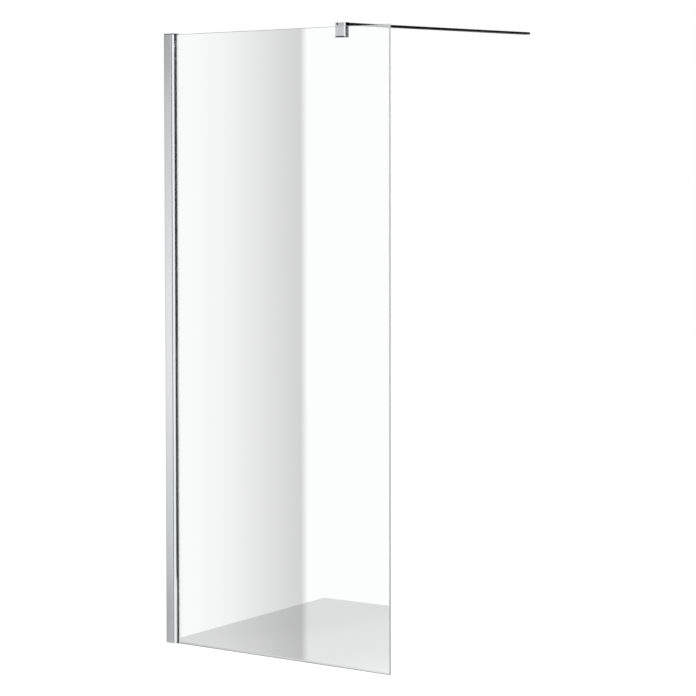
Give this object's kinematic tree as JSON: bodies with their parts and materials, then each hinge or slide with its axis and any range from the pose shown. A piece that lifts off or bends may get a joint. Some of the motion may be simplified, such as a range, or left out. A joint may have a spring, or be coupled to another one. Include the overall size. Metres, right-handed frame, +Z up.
{
  "type": "shower screen",
  "caption": "Fixed walk-in shower screen: clear glass pane in an adjustable wall profile, with a top clamp and a flat support bar that runs to a second wall.",
  "frame": {"origin": "on the floor at the wall's surface, in the middle of the glass's thickness: the foot of the wall channel's back face", "axes": "+X along the glass away from the wall, +Y into the shower along the support bar towards the second wall, +Z up"},
  "size_m": [1, 0.894, 2.0115],
  "materials": {
    "bright_profile": "bright polished extrusion, chrome look",
    "bright_fitting": "polished chrome plating",
    "fastener_steel": "plain stainless steel",
    "cap_plastic": "dark grey moulded plastic",
    "gasket_rubber": "dark extruded rubber",
    "clear_liner": "clear soft plastic",
    "clear_glass": "clear toughened safety glass with polished edges"
  },
  "bodies": {
    "channel": {"wall_channel": "bright_profile", "wall_channel_cap": "cap_plastic", "adjusting_screws": "fastener_steel", "clamping_nuts": "fastener_steel", "screw_cover_caps": "bright_fitting"},
    "screen": {"glazing_profile": "bright_profile", "glazing_profile_cap": "cap_plastic", "front_gasket": "gasket_rubber", "rear_gasket": "clear_liner", "glass_edge_pads": "gasket_rubber", "glass_panel": "clear_glass"},
    "support": {"clamp_body": "bright_fitting", "clamp_liner": "clear_liner", "clamp_pressure_plate": "fastener_steel", "clamp_grub_screws": "fastener_steel", "support_bar": "bright_fitting", "bar_end_plug": "bright_fitting", "bar_fixing_screws": "fastener_steel", "bar_grub_screw": "fastener_steel"},
    "spigot": {"wall_spigot": "fastener_steel"}
  },
  "joints": [
    {"name": "width_adjust", "type": "slide", "parent": "channel", "child": "screen", "axis": [1, 0, 0], "range_m": [0, 0.012]},
    {"name": "clamp_slide", "type": "slide", "parent": "screen", "child": "support", "axis": [1, 0, 0], "range_m": [-0.6, 0.17]},
    {"name": "spigot_slide", "type": "slide", "parent": "support", "child": "spigot", "axis": [0, 1, 0], "range_m": [0, 0.01]}
  ]
}
